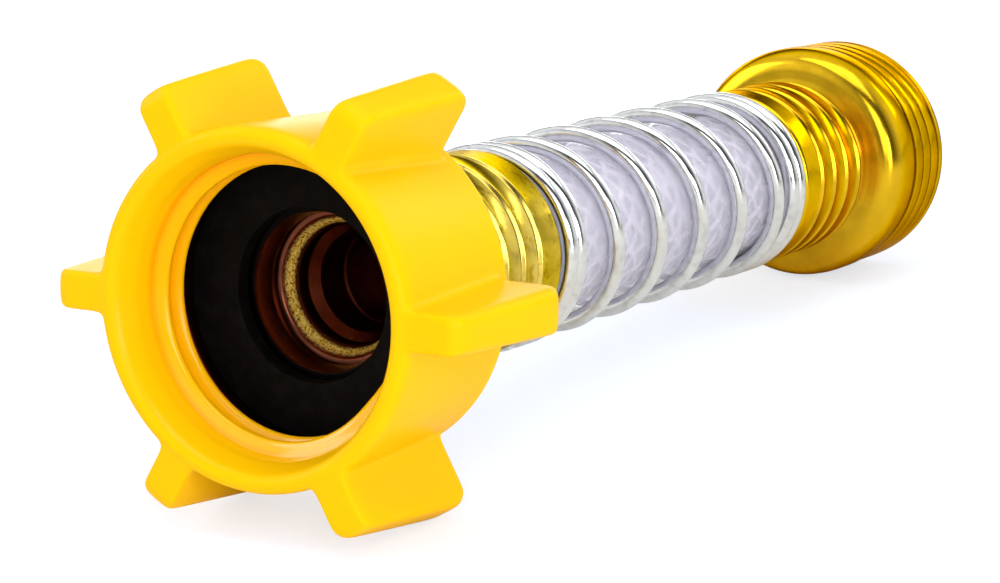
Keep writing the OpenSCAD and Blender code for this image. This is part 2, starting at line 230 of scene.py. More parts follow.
def turned(name, outline, sides=128):
    """Turns a closed outline of (x, radius) points, in millimetres, around the water axis."""
    deselect()
    x0, r0 = outline[0]
    bpy.ops.mesh.primitive_circle_add(
        vertices=sides, radius=r0 * MM, fill_type="NOTHING",
        location=(x0 * MM, 0, 0), rotation=(0, pi / 2, 0),
    )
    obj = bpy.context.object
    obj.name = obj.data.name = name
    bpy.ops.object.transform_apply(location=True, rotation=True, scale=True)
    bpy.ops.object.mode_set(mode="EDIT")
    bpy.ops.mesh.select_mode(type="VERT")
    bpy.ops.mesh.select_all(action="SELECT")
    last_x, last_r = x0, r0
    for x, r in outline[1:]:
        bpy.ops.mesh.extrude_region_move(TRANSFORM_OT_translate={"value": ((x - last_x) * MM, 0, 0)})
        scale = r / last_r
        bpy.ops.transform.resize(value=(1, scale, scale), center_override=(x * MM, 0, 0))
        last_x, last_r = x, r
    bpy.ops.mesh.select_all(action="DESELECT")
    bpy.ops.mesh.select_non_manifold()
    bpy.ops.mesh.bridge_edge_loops()
    bpy.ops.mesh.select_all(action="SELECT")
    bpy.ops.mesh.normals_make_consistent(inside=False)
    bpy.ops.object.mode_set(mode="OBJECT")
    return obj


def arc(x, r, radius, start, end, steps=5):
    """Points of a rounded corner: centre at x and r, angles in degrees from the +r direction towards +x."""
    points = []
    for i in range(steps + 1):
        a = radians(start + (end - start) * i / steps)
        points.append((x + radius * sin(a), r + radius * cos(a)))
    return points


def spaced(first, last, steps):
    """Evenly spaced points from one to the other."""
    return [tuple(Vector(first).lerp(Vector(last), i / steps)) for i in range(steps + 1)]


def moved(start, points, way=1):
    """Outline points counted along the axis from a place, or back from it where way is -1."""
    return [(start + way * x, r) for x, r in points]


def held(corners):
    """Outline points for a subdivided surface: each (x, r, softness) corner between two close points."""
    points = []
    for i, (x, r, soft) in enumerate(corners):
        here = Vector((x, r))
        sides = []
        for other in (corners[i - 1], corners[(i + 1) % len(corners)]):
            way = Vector(other[:2]) - here
            sides.append(here + way * min(soft / way.length, 0.4))
        points += [tuple(sides[0]), (x, r), tuple(sides[1])]
    return points


def swept(name, rings):
    """A bar with closed ends through a list of equal rings of points, in metres."""
    sides = len(rings[0])
    points = [p for ring in rings for p in ring]
    last = (len(rings) - 1) * sides
    faces = [
        (i * sides + j, i * sides + (j + 1) % sides, (i + 1) * sides + (j + 1) % sides, (i + 1) * sides + j)
        for i in range(len(rings) - 1)
        for j in range(sides)
    ]
    faces.append(tuple(reversed(range(sides))))
    faces.append(tuple(last + j for j in range(sides)))
    mesh = bpy.data.meshes.new(name)
    mesh.from_pydata(points, [], faces)
    obj = bpy.data.objects.new(name, mesh)
    bpy.context.scene.collection.objects.link(obj)
    only(obj)
    bpy.ops.object.mode_set(mode="EDIT")
    bpy.ops.mesh.select_all(action="SELECT")
    bpy.ops.mesh.normals_make_consistent(inside=False)
    bpy.ops.object.mode_set(mode="OBJECT")
    return obj


def joined(name, parts):
    """Joins objects into one piece."""
    only(parts[0])
    for part in parts[1:]:
        part.select_set(True)
    bpy.ops.object.join()
    obj = bpy.context.object
    obj.name = obj.data.name = name
    return obj


def smooth(obj, angle):
    """Smooth shading that keeps the sharp edges."""
    only(obj)
    bpy.ops.object.shade_smooth_by_angle(angle=radians(angle))
    return obj


def thread_ridge(name, x0, start, turns, pitch, root, crest, sunk, base, flank):
    """One helical thread ridge with rounded crests and ends that run out into the wall."""
    height = crest - root
    rise = [(0.17, 0.04), (0.52, 0.5), (0.72, 0.84), (1.0, 0.98)]
    profile = [(-base, -sunk)] + [(-base * (1 - flank * u), h) for u, h in rise] + [(0.0, 1.0)]
    profile += [(-u, h) for u, h in reversed(profile[:-1])]
    steps = int(turns * THREAD_STEPS)
    runout = 0.12 * THREAD_STEPS
    rings = []
    for i in range(steps + 1):
        turn = turns * i / steps
        a = start + 2 * pi * turn
        fade = min(1.0, i / runout, (steps - i) / runout)
        fade = fade * fade * (3 - 2 * fade)
        ring = []
        for u, h in profile:
            share = h if h < 0 else h * fade - 0.04 * (1 - fade)
            r = root + height * share
            ring.append((((x0 + pitch * turn) + u * pitch) * MM, r * cos(a) * MM, r * sin(a) * MM))
        rings.append(ring)
    return swept(name, rings)


# ---------------------------------------------------------------- materials


def put(node, values):
    """Gives a node's own inputs their values: plain ones, or other nodes' outputs."""
    for name, value in values.items():
        if isinstance(value, bpy.types.NodeSocket):
            node.id_data.links.new(value, node.inputs[name])
        else:
            node.inputs[name].default_value = value


def added(tree, kind, values, **modes):
    """A new node with its modes and the values of its inputs."""
    node = tree.nodes.new("ShaderNode" + kind)
    for name, mode in modes.items():
        setattr(node, name, mode)
    put(node, values)
    return node


def new_material(name):
    """A node material, its tree and its Principled shader."""
    material = bpy.data.materials.new(name)
    material.use_nodes = True
    tree = material.node_tree
    tree.nodes.clear()
    shader = added(tree, "BsdfPrincipled", {})
    added(tree, "OutputMaterial", {0: shader.outputs[0]})
    return material, tree, shader


def object_coords(tree, scale=(1, 1, 1)):
    """Object coordinates through a Mapping node."""
    coords = added(tree, "TexCoord", {}).outputs["Object"]
    return added(tree, "Mapping", {"Vector": coords, "Scale": scale}).outputs["Vector"]


def noise(tree, vector, scale, detail, rough=0.5):
    """A noise texture's factor."""
    values = {"Vector": vector, "Scale": scale, "Detail": detail, "Roughness": rough}
    return added(tree, "TexNoise", values).outputs["Fac"]


def bands(tree, vector, period):
    """Fine bands across the water axis, as a turning tool leaves them."""
    values = {"Vector": vector, "Scale": 2 * pi / (20 * period * MM), "Distortion": 0.4, "Detail": 2.0}
    return added(tree, "TexWave", values, wave_type="BANDS", bands_direction="X").outputs["Fac"]


def solid(tint):
    """A plain colour with its opacity."""
    return tint if len(tint) == 4 else (*tint, 1)


def ramp(tree, factor, stops):
    """A colour ramp from (place, colour) stops."""
    node = added(tree, "ValToRGB", {"Fac": factor})
    elements = node.color_ramp.elements
    while len(elements) < len(stops):
        elements.new(0.5)
    for element, (place, tint) in zip(elements, stops):
        element.position = place
        element.color = solid(tint)
    return node.outputs["Color"]


def blended(tree, factor, first, second):
    """A mix of two colours by a factor. Each colour is a socket or a plain colour."""
    pair = [tint if isinstance(tint, bpy.types.NodeSocket) else solid(tint) for tint in (first, second)]
    return added(tree, "Mix", {0: factor, 6: pair[0], 7: pair[1]}, data_type="RGBA").outputs[2]


def position(tree, vector):
    """The three parts of a position, in metres."""
    return added(tree, "SeparateXYZ", {0: vector}).outputs


def smooth_step(tree, value, low, high):
    """0 below low and 1 above high, softly between. The value is in metres, the places in millimetres."""
    values = {"Value": value, "From Min": low * MM, "From Max": high * MM}
    return added(tree, "MapRange", values, interpolation_type="SMOOTHSTEP").outputs["Result"]


def maths(tree, first, second, mode="MULTIPLY"):
    """Two numbers through a Math node, each a socket or a plain number."""
    return added(tree, "Math", {0: first, 1: second}, operation=mode).outputs[0]


def band_mask(tree, vector, low, high, soft):
    """1 between two places along the axis, in millimetres."""
    x = position(tree, vector)["X"]
    rise = smooth_step(tree, x, low - soft, low + soft)
    return maths(tree, rise, smooth_step(tree, x, high + soft, high - soft))


def radius_mask(tree, vector, inner, outer):
    """1 inside a radius around the water axis, falling to 0 at an outer one, in millimetres."""
    parts = position(tree, vector)
    squares = [maths(tree, parts[axis], parts[axis]) for axis in ("Y", "Z")]
    r = maths(tree, maths(tree, *squares, "ADD"), 0.5, "POWER")
    return smooth_step(tree, r, outer, inner)


def ranged(tree, value, low, high):
    """Maps 0..1 to low..high."""
    return added(tree, "MapRange", {"Value": value, "To Min": low, "To Max": high}).outputs["Result"]


def bump(tree, shader, height, depth, strength, below=None):
    """Adds a bump of a real depth in millimetres to the shader's normal."""
    values = {"Height": height, "Strength": strength, "Distance": depth * MM}
    if below is not None:
        values["Normal"] = below
    normal = added(tree, "Bump", values).outputs["Normal"]
    put(shader, {"Normal": normal})
    return normal


def shade(base, factor):
    """A colour made lighter or darker."""
    return tuple(min(1.0, c * factor) for c in base[:3]) + (1,)


def yellow_plastic(finish):
    """Moulded plastic with a faint grain, and painted shade: orange inside the thread and a dark line at the
    washer.
    """
    material, tree, shader = new_material("yellow_moulded_plastic")
    vector = object_coords(tree)
    axis, height = position(tree, vector)["X"], position(tree, vector)["Z"]
    slow = ranged(tree, noise(tree, vector, 90, 2), 0.0, 1.0)
    deeper = (finish.yellow[0] * 0.98, finish.yellow[1] * 0.93, finish.yellow[2], 1)
    even = blended(tree, slow, deeper, finish.yellow)

    # Painted shade: the wall of the thread is painted a warmer orange, more so towards the top, and its
    # valleys deeper still
    thread_start = smooth_step(tree, axis, MOUTH + 3.6, MOUTH + 4.3)
    hollow = maths(tree, radius_mask(tree, vector, 13.85, 14.05), thread_start)
    top_shade = ranged(tree, smooth_step(tree, height, -7, 3), 0.25, 1.0)
    yellow_with_shade = blended(tree, maths(tree, hollow, top_shade), even, (1.0, 0.50, 0.0015))
    valley_shade = maths(tree, hollow, ranged(tree, radius_mask(tree, vector, 13.15, 13.5), 1.0, 0.0))
    yellow_with_shade = blended(tree, maths(tree, valley_shade, 0.45), yellow_with_shade, (0.92, 0.33, 0.001))

    # Painted shadow where the wall meets the washer: a dark maroon line, black in its depth
    washer_gap_shade = smooth_step(tree, axis, MOUTH + 8.35, MOUTH + 9.0)
    washer_shadow = maths(tree, washer_gap_shade, radius_mask(tree, vector, 13.7, 13.9))
    depth = smooth_step(tree, axis, MOUTH + 8.9, MOUTH + 9.3)
    dark = blended(tree, depth, (0.16, 0.006, 0.003), (0.004, 0.001, 0.001))
    put(shader, {"Base Color": blended(tree, washer_shadow, yellow_with_shade, dark)})

    # Inside the mouth the lower half is glossier
    lower = smooth_step(tree, height, 1, -5)
    inside = maths(tree, radius_mask(tree, vector, 14.3, 14.9), lower)
    satin = ranged(tree, noise(tree, vector, 420, 3), 0.28, 0.36)
    satin = maths(tree, satin, ranged(tree, inside, 1.0, 0.4))
    put(shader, {"Specular IOR Level": ranged(tree, inside, 0.05, 0.5), "Roughness": satin})
    put(shader, {"Subsurface Weight": 0.06, "Subsurface Scale": 0.001})
    put(shader, {"Subsurface Radius": (1.0, 0.6, 0.1)})
    grain = bump(tree, shader, noise(tree, vector, 2600, 2), 0.004, 0.3)
    bump(tree, shader, noise(tree, vector, 160, 1), 0.03, 0.3, grain)
    return material


def black_rubber(finish):
    """Matte rubber with a faint dusty bloom."""
    material, tree, shader = new_material("black_rubber")
    vector = object_coords(tree)
    dust = noise(tree, vector, 700, 4)
    tint = ramp(tree, dust, [(0.45, finish.rubber), (0.8, (0.006, 0.0055, 0.0055))])
    put(shader, {"Base Color": tint, "Specular IOR Level": 0.06})
    put(shader, {"Roughness": ranged(tree, dust, 0.55, 0.75)})
    bump(tree, shader, noise(tree, vector, 1800, 3), 0.03, 0.6)
    return material


def turned_brass(base, name, rough, marks, stain, scuffs):
    """Turned brass: tool rings that are marks millimetres apart, slow stains and small dark scuffs."""
    material, tree, shader = new_material(name)
    vector = object_coords(tree)
    along = object_coords(tree, (1, 0.15, 0.15))
    stains = noise(tree, vector, 140, 4, 0.6)
    clouded = ramp(tree, stains, [(0.35, shade(base, 1 - stain)), (0.62, base)])
    streaks = ranged(tree, noise(tree, along, 900, 3), 0.0, 0.35)
    tint = blended(tree, streaks, clouded, shade((base[0], base[1] * 0.92, base[2] * 0.7), 0.8))
    worn = ramp(tree, noise(tree, vector, 750, 6, 0.7), [(0.54, (0, 0, 0)), (0.66, (1, 1, 1))])
    scuffed = shade((base[0], base[1] * 0.8, base[2] * 0.6), 0.4)
    tint = blended(tree, maths(tree, worn, scuffs), tint, scuffed)
    put(shader, {"Base Color": tint, "Metallic": 1.0, "Specular Tint": shade(base, 0.6)})
    put(shader, {"Roughness": ranged(tree, noise(tree, along, 500, 4), *rough)})
    rings = bump(tree, shader, bands(tree, vector, marks), 0.004, 0.5)
    bump(tree, shader, noise(tree, vector, 420, 3), 0.02, 0.35, rings)
    return material


def stem_brass(face):
    """Brass with painted shade, dark inside the bore, and one rough seat ring with painted glints. Its
    places count from the face.
    """
    material, tree, shader = new_material("stem_brass")
    vector = object_coords(tree)
    axis = position(tree, vector)["X"]
    # Painted shade: dark brown in the bore, a lighter band where light reaches the entry, and black at the
    # flange's face
    cloud = noise(tree, vector, 300, 4)
    bore_shade = ramp(tree, cloud, [(0.3, (0.12, 0.038, 0.022)), (0.7, (0.22, 0.075, 0.042))])
    entry = band_mask(tree, vector, face + 0.3, face + 2.3, 0.12)
    wall = blended(tree, entry, bore_shade, (0.36, 0.12, 0.06))
    front = smooth_step(tree, axis, face + 0.16, face + 0.06)
    dark = blended(tree, front, wall, (0.004, 0.003, 0.003))

    # Painted glints on the rough ring: only the peaks of its grain are painted bright, with painted shade
    # between, and most of them at its crown, where a painted highlight runs
    grain = noise(tree, vector, 4200, 3, 0.7)
    stops = [(0.38, (0.06, 0.025, 0.006)), (0.48, (1.0, 0.62, 0.04)), (0.6, (1.0, 0.86, 0.24))]
    bright = ramp(tree, grain, stops)
    rise = smooth_step(tree, axis, face + 3.1, face + 4.0)
    highlight_crown = maths(tree, rise, smooth_step(tree, axis, face + 4.7, face + 4.1))
    peak = maths(tree, maths(tree, highlight_crown, 0.9), grain, "ADD")
    above = maths(tree, maths(tree, peak, 0.76, "SUBTRACT"), 4.0)
    seat = maths(tree, ranged(tree, above, 0.0, 1.0), highlight_crown)
    # A painted highlight line at the edge of the entry
    edge = band_mask(tree, vector, face + 2.22, face + 2.40, 0.05)
    lit = maths(tree, seat, maths(tree, edge, 0.6), "MAXIMUM")
    put(shader, {"Base Color": blended(tree, lit, dark, bright), "Metallic": ranged(tree, seat, 1.0, 0.15)})
    put(shader, {"Roughness": ranged(tree, noise(tree, vector, 500, 4), 0.16, 0.3)})
    grit = maths(tree, noise(tree, vector, 3400, 4, 0.7), seat)
    rings = bump(tree, shader, bands(tree, vector, 0.12), 0.004, 0.4)
    bump(tree, shader, grit, 0.3, 1.0, rings)
    return material


def clear_cover(finish):
    """Clear soft plastic, slightly milky and lilac, with a painted shadow in the crevice at the inlet's
    sleeve.
    """
    material, tree, shader = new_material("clear_hose_cover")
    vector = object_coords(tree)
    cloud = noise(tree, vector, 220, 3)
    tint = ramp(tree, cloud, [(0.3, shade(finish.clear, 0.93)), (0.7, finish.clear)])
    # Painted shadow: near-black and nearly opaque in the crevice next to the inlet's sleeve
    crevice_shadow = band_mask(tree, vector, FERRULE_A[1] - 0.6, FERRULE_A[1] + 0.5, 0.12)
    put(shader, {"Base Color": blended(tree, crevice_shadow, tint, (0.004, 0.004, 0.006))})
    put(shader, {"Roughness": ranged(tree, cloud, 0.10, 0.2), "Alpha": ranged(tree, crevice_shadow, 0.31, 0.95)})
    put(shader, {"Specular IOR Level": 0.4})
    bump(tree, shader, noise(tree, vector, 260, 2), 0.06, 0.5)
    return material


def milky_liner(finish):
    """The inner tube seen through the braid."""
    material, tree, shader = new_material("milky_liner")
    vector = object_coords(tree)
    stops = [(0.3, shade(finish.clear, 0.90)), (0.7, shade(finish.clear, 1.0))]
    put(shader, {"Base Color": ramp(tree, noise(tree, vector, 180, 3), stops), "Roughness": 0.35})
    put(shader, {"Subsurface Weight": 0.4, "Subsurface Scale": 0.003})
    bump(tree, shader, noise(tree, vector, 300, 2), 0.03, 0.4)
    return material


def white_yarn(finish):
    """Polyester yarn with a fine fleck of filaments."""
    material, tree, shader = new_material("white_yarn")
    fibre = noise(tree, object_coords(tree), 2600, 3)
    tint = ramp(tree, fibre, [(0.3, shade(finish.yarn, 0.88)), (0.7, finish.yarn)])
    put(shader, {"Base Color": tint, "Roughness": 0.55, "Sheen Weight": 0.2})
    bump(tree, shader, fibre, 0.03, 0.5)
    return material


def bright_wire(finish):
    """Bright plated wire with small flecks and a slight unevenness."""
    material, tree, shader = new_material("bright_plated_wire")
    vector = object_coords(tree)
    fleck = noise(tree, vector, 900, 4)
    tint = ramp(tree, fleck, [(0.28, shade(finish.steel, 0.8)), (0.5, finish.steel)])
    put(shader, {"Base Color": tint, "Metallic": 1.0, "Roughness": ranged(tree, fleck, 0.10, 0.2)})
    bump(tree, shader, noise(tree, vector, 1400, 2), 0.006, 0.4)
    return material


def paint(obj, material):
    """Gives a piece its material."""
    obj.data.materials.clear()
    obj.data.materials.append(material)


# ---------------------------------------------------------------- pieces


def settings():
    """The sizes and colours in use."""
    return bpy.context.scene.hose_protector


class BuildGripNut(bpy.types.Operator):
    """Turns the nut's ring, pulls its wings out of it, softens every edge and adds the inner thread"""

    bl_idname = "hose_protector.grip_nut"
    bl_label = "Winged swivel nut"

    def execute(self, context):
        sizes = settings().nut
        front, back, mouth = sizes.front_radius / MM, sizes.back_radius / MM, sizes.mouth_radius / MM
        root, crest = sizes.thread_root / MM, sizes.thread_crest / MM
        wing_start, wing_end = MOUTH + 0.25, NUT_END - 1.6
        web_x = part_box("inlet_stem")[0].x / MM + 2.1
        cavity, recess = root - 0.12, back - 2.9
        neck_hole = 9.2
        lip = [(1.1, 14.42), (0.4, 14.72), (0.02, 15.25), (0.02, 15.65), (0.25, 16.22)]
        outer = moved(MOUTH, lip + [(0.9, front - 0.02), (2.2, front)])
        outer += moved(wing_end, [(2.3, back + 0.05), (0.85, back + 0.01), (0, back)], -1)
        corners = [(wing_end + 0.5, back, 0.3), (NUT_END, back, 0.5), (NUT_END, recess, 0.4)]
        corners += [(web_x + 2.2, recess, 0.3), (web_x + 2.2, neck_hole, 0.2)]
        corners += [(web_x, neck_hole, 0.2), (web_x, cavity, 0.3)]
        corners += [(MOUTH + 8.6, cavity, 0.15), (MOUTH + 8.4, root, 0.15), (MOUTH + 4.4, root + 0.02, 0.3)]
        corners += [(MOUTH + 2.4, mouth - 0.22, 0.4)]
        nut = turned("grip_nut_body", outer + held(corners)[1:-1], COLUMNS_PER_WING * sizes.wings)
        only(nut)
        bpy.ops.object.mode_set(mode="EDIT")
        bpy.ops.mesh.select_mode(type="VERT")

        step = 2 * pi / sizes.wings
        side = sizes.wing_half / sizes.front_radius
        # Where the columns of faces stand, as angles from the middle of a wing to half-way to the next
        spots = [0, side * 0.5, side, side + 0.065, 0.235, 0.305, 0.375, 0.448, step / 2]
        front_round, back_round = 1.0 * MM, 1.2 * MM

        def along(x):
            """Share of the wing's length at a place on the axis, in metres."""
            return min(max((x / MM - wing_start) / (wing_end - wing_start), 0), 1)

        def rounded(inward, radius):
            """How far a rounded corner drops at a distance inward from its end."""
            short = min(max(radius - inward, 0), radius)
            return radius - sqrt(radius * radius - short * short)

        mesh = bmesh.from_edit_mesh(nut.data)
        for vertex in mesh.verts:
            angle = atan2(vertex.co.z, vertex.co.y)
            nearest = round(angle / step) * step
            spot = round((angle - nearest) / step * COLUMNS_PER_WING)
            turn = spots[abs(spot)] * (1 if spot > 0 else -1)
            r = vertex.co.yz.length
            if 1 <= abs(spot) <= 3 and r > (back - 1) * MM:
                turn *= 1 + sizes.wing_spread * along(vertex.co.x)
            vertex.co = (vertex.co.x, r * cos(nearest + turn), r * sin(nearest + turn))
        bmesh.update_edit_mesh(nut.data)

        for i in range(sizes.wings):
            out = Vector((0, cos(i * step), sin(i * step)))
            mesh = bmesh.from_edit_mesh(nut.data)
            bpy.ops.mesh.select_mode(type="FACE")
            bpy.ops.mesh.select_all(action="DESELECT")
            for face in mesh.faces:
                centre = face.calc_center_median()
                spread = abs((atan2(centre.z, centre.y) - i * step + pi) % (2 * pi) - pi)
                half = side * (1 + sizes.wing_spread * along(centre.x))
                outside = min(v.co.yz.length for v in face.verts) > (back - 0.1) * MM
                if spread < half and outside and centre.x < wing_end * MM:
                    face.select_set(True)
            bmesh.update_edit_mesh(nut.data)
            # Three steps outwards: to the top of the fillet, to just below the tip, and to the rounded tip
            for stage in range(3):
                bpy.ops.mesh.extrude_region_move(TRANSFORM_OT_translate={"value": out * MM})
                mesh = bmesh.from_edit_mesh(nut.data)
                for vertex in [v for v in mesh.verts if v.select]:
                    share = along(vertex.co.x)
                    tip = sizes.wing_front + (sizes.wing_back - sizes.wing_front) * share
                    across = abs(vertex.co.dot(Vector((0, -out.z, out.y))))
                    corner = 0.2 * MM if across > 0.8 * sizes.wing_half else 0
                    ahead, behind = vertex.co.x - wing_start * MM, wing_end * MM - vertex.co.x
                    drop = rounded(ahead, front_round) + rounded(behind, back_round) + corner
                    ring = sizes.front_radius + (sizes.back_radius - sizes.front_radius) * share
                    height = (ring + sizes.fillet, tip - (1.9 + 0.3 * share) * MM, tip - drop)[stage]
                    vertex.co += out * (height - vertex.co.dot(out))
                bmesh.update_edit_mesh(nut.data)
        bpy.ops.mesh.select_all(action="SELECT")
        bpy.ops.mesh.normals_make_consistent(inside=False)
        bpy.ops.object.mode_set(mode="OBJECT")
        only(nut)
        bpy.ops.object.modifier_add(type="SUBSURF")
        nut.modifiers[-1].levels = 2
        bpy.ops.object.modifier_apply(modifier=nut.modifiers[-1].name)
        pitch = settings().brass.thread_pitch / MM
        ridge = thread_ridge("nut_thread", MOUTH + 4.2, pi, 1.95, pitch, root, crest, 0.15, 0.4, 0.8)
        nut = smooth(joined("grip_nut_shell", [nut, ridge]), 50)
        paint(nut, yellow_plastic(settings().finish))
        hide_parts("grip_nut")
        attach(nut, "swivel_nut")
        return {"FINISHED"}


class BuildWasher(bpy.types.Operator):
    """Turns the rubber washer with slightly rounded edges"""

    bl_idname = "hose_protector.washer"
    bl_label = "Hose washer"

    def execute(self, context):
        low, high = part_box("hose_washer")
        edge = 0.14
        front, back = low.x / MM + edge, high.x / MM - edge
        outer, hole = high.z / MM - edge, settings().nut.washer_hole / MM + edge
        outline = []
        for i, (x, r) in enumerate(((front, outer), (back, outer), (back, hole), (front, hole))):
            outline += arc(x, r, edge, 90 * i - 90, 90 * i, 4)
        washer = smooth(turned("washer_disc", outline, 128), 50)
        paint(washer, black_rubber(settings().finish))
        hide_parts("hose_washer")
        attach(washer, "swivel_nut")
        return {"FINISHED"}


def crimp_rings(start, way, total, radius, first, pitch, depth):
    """Outline points of the crimped grooves of a ferrule, from its open end."""
    # Half a groove: distance from its middle, and height as a share of its depth
    flank = [(0.62, 0.0), (0.50, 0.1), (0.40, -0.1), (0.32, -0.85), (0.22, -1.0)]
    points = []
    u = first
    while u < total - 1.15:
        for du, dr in [(-du, dr) for du, dr in flank] + flank[::-1]:
            points.append((start + way * (u + du), radius + dr * depth))
        u += pitch
    return points


class BuildFerrules(bpy.types.Operator):
    """Turns both crimped sleeves"""

    bl_idname = "hose_protector.ferrules"
    bl_label = "Crimped ferrules"

    def execute(self, context):
        sizes = settings().brass
        inner = COVER_R + 0.05
        near = (sizes.first_groove / MM, sizes.groove_pitch / MM, sizes.groove_depth / MM)
        far = (sizes.far_first / MM, sizes.far_pitch / MM, sizes.groove_depth / MM)
        for name, node, body, start, end, grooves in (
            ("inlet_sleeve", "inlet_ferrule", "inlet_tail", FERRULE_A[1], FERRULE_A[0], near),
            ("outlet_sleeve", "outlet_ferrule", "outlet_end", FERRULE_B[0], FERRULE_B[1], far),
        ):
            way = 1 if end > start else -1
            total = abs(end - start)
            rolled = moved(start, arc(0.5, FERRULE_R - 0.5, 0.5, -90, 0), way)
            closed = moved(start, arc(total - 0.4, FERRULE_R - 0.4, 0.4, 0, 90), way)
            outline = [(start, inner + 0.2), (start, FERRULE_R - 0.7)] + rolled
            outline += crimp_rings(start, way, total, FERRULE_R, *grooves) + closed
            outline += [(end, SLEEVE_LIP_R), (end - way * 1.2, SLEEVE_LIP_R)]
            outline += [(end - way * 1.2, inner), (start + way * 0.2, inner)]
            sleeve = smooth(turned(name, outline), 50)
            finish = settings().finish
            base, scuffs = (finish.pale_brass, 0.7) if node == "inlet_ferrule" else (finish.brass, 0.15)
            paint(sleeve, turned_brass(base, name + "_brass", (0.14, 0.26), 0.2, 0.4, scuffs))
            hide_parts(node)
            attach(sleeve, body)
        return {"FINISHED"}


class BuildStem(bpy.types.Operator):
    """Turns the flanged inlet stem with its stepped bore and barbed tail"""

    bl_idname = "hose_protector.stem"
    bl_label = "Inlet stem"

    def execute(self, context):
        sizes = settings().brass
        face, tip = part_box("inlet_stem")[0].x / MM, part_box("inlet_stem")[1].x / MM
        entry, bore, flange = sizes.entry / MM, sizes.bore / MM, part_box("inlet_stem")[1].z / MM
        lip, neck = FERRULE_A[0], 8.9
        # Flange, neck and the grip that the sleeve's lip closes on
        outline = moved(face, [(0.25, entry), (0.07, entry + 0.1), (0, entry + 0.3), (0, flange - 0.4)])
        outline += moved(face, [(0.1, flange - 0.1), (0.4, flange), (1.8, flange), (1.8, neck)])
        outline += moved(lip, [(-0.03, neck), (-0.03, GRIP_GROOVE_R), (1.23, GRIP_GROOVE_R)])
        outline += moved(lip, [(1.23, GRIP_SHOULDER_R), (2.4, GRIP_SHOULDER_R)])
        # Barbs
        x = lip + 2.4
        while x + 3.4 < tip:
            outline += moved(x, [(0, TAIL_R), (0.3, TAIL_R), (0.5, BARB_R), (0.9, BARB_R), (3.1, 5.76)])
            x += 3.2
        outline += [(tip - 0.3, TAIL_R), (tip, TAIL_TIP_R), (tip, bore - 0.1)]
        # Bore, seat cone, groove and entry
        outline += moved(face, [(11.1, bore - 0.1), (10.9, bore + 0.1), (7.0, bore + 0.1)])
        outline += moved(face, [(6.1, 5.6), (4.75, 5.62)])
        outline += spaced((face + 4.6, 5.72), (face + 3.2, 6.66), 6)
        outline += moved(face, [(3.12, 6.8), (3.12, 7.46), (2.36, 7.46)])
        outline += moved(face, [(2.36, entry - 0.26), (2.28, entry - 0.32)])
        stem = smooth(turned("stem_turning", outline, 160), 40)
        paint(stem, stem_brass(face))
        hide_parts("inlet_stem")
        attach(stem, "inlet_tail")
        return {"FINISHED"}


class BuildOutlet(bpy.types.Operator):
    """Turns the outlet fitting and adds its helical thread"""

    bl_idname = "hose_protector.outlet"
    bl_label = "Outlet fitting"

    def execute(self, context):
        sizes = settings().brass
        neck, root, crest = sizes.neck_radius / MM, sizes.thread_root / MM, sizes.thread_crest / MM
        mouth, bore = sizes.outlet_mouth / MM, sizes.bore / MM
        end, tail = FERRULE_B[1], OUTLET_TAIL
        shoulder, rim = end - 2.4, COLLAR_R - 0.07
        # Tail and grip
        outline = [(tail, bore), (tail, TAIL_TIP_R), (tail + 0.4, TAIL_R), (shoulder, TAIL_R)]
        outline += [(shoulder, GRIP_SHOULDER_R), (shoulder + 1.17, GRIP_SHOULDER_R)]
        outline += [(shoulder + 1.17, GRIP_GROOVE_R), (end + 0.03, GRIP_GROOVE_R)]
        # Neck, flare, collar and the root of the thread
        outline += moved(end, [(0.03, neck), (0.6, neck), (0.95, neck + 0.1), (1.25, neck + 0.4)])
        outline += moved(end, [(1.45, neck + 0.9), (1.58, neck + 1.6), (1.68, 11.1), (1.8, 11.8)])
        outline += moved(end, [(2.0, 12.35), (2.3, 12.75), (2.7, 13.06), (3.2, 13.28)])
        outline += moved(end, [(3.8, rim - 0.06), (4.5, rim), (6.8, rim), (7.05, rim - 0.06)])
        outline += moved(end, [(7.2, root + 0.12), (7.35, root)])
        # Rounded end and mouth, counted back from the tip
        thread_end = [(1.5, root), (1.35, crest - 0.15), (1.1, crest - 0.03), (0.5, crest - 0.05)]
        thread_end += [(0.15, crest - 0.25), (0, crest - 0.6), (0, mouth + 0.4), (0.12, mouth + 0.1)]
        outline += moved(OUTLET_TIP, thread_end + [(0.4, mouth), (6, mouth)], -1)
        outline.append((OUTLET_TIP - 6 - (mouth - bore), bore))
        fitting = turned("outlet_body", outline, 160)
        pitch = sizes.thread_pitch / MM
        turns = (OUTLET_TIP - 1.6 - (end + 8.1)) / pitch
        ridge = thread_ridge("outlet_thread", end + 8.1, 0, turns, pitch, root, crest, 0.1, 0.5, 0.5)
        fitting = smooth(joined("outlet_coupling", [fitting, ridge]), 50)
        brass = turned_brass(settings().finish.brass, "outlet_brass", (0.13, 0.26), 0.3, 0.35, 0)
        paint(fitting, brass)
        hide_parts("outlet_fitting")
        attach(fitting, "outlet_end")
        return {"FINISHED"}


def blend_half(obj, inlet):
    """Bakes the place of one half of the hose, braid or spring into its mesh."""
    if inlet:
        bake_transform(obj)
    else:
        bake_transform(obj)


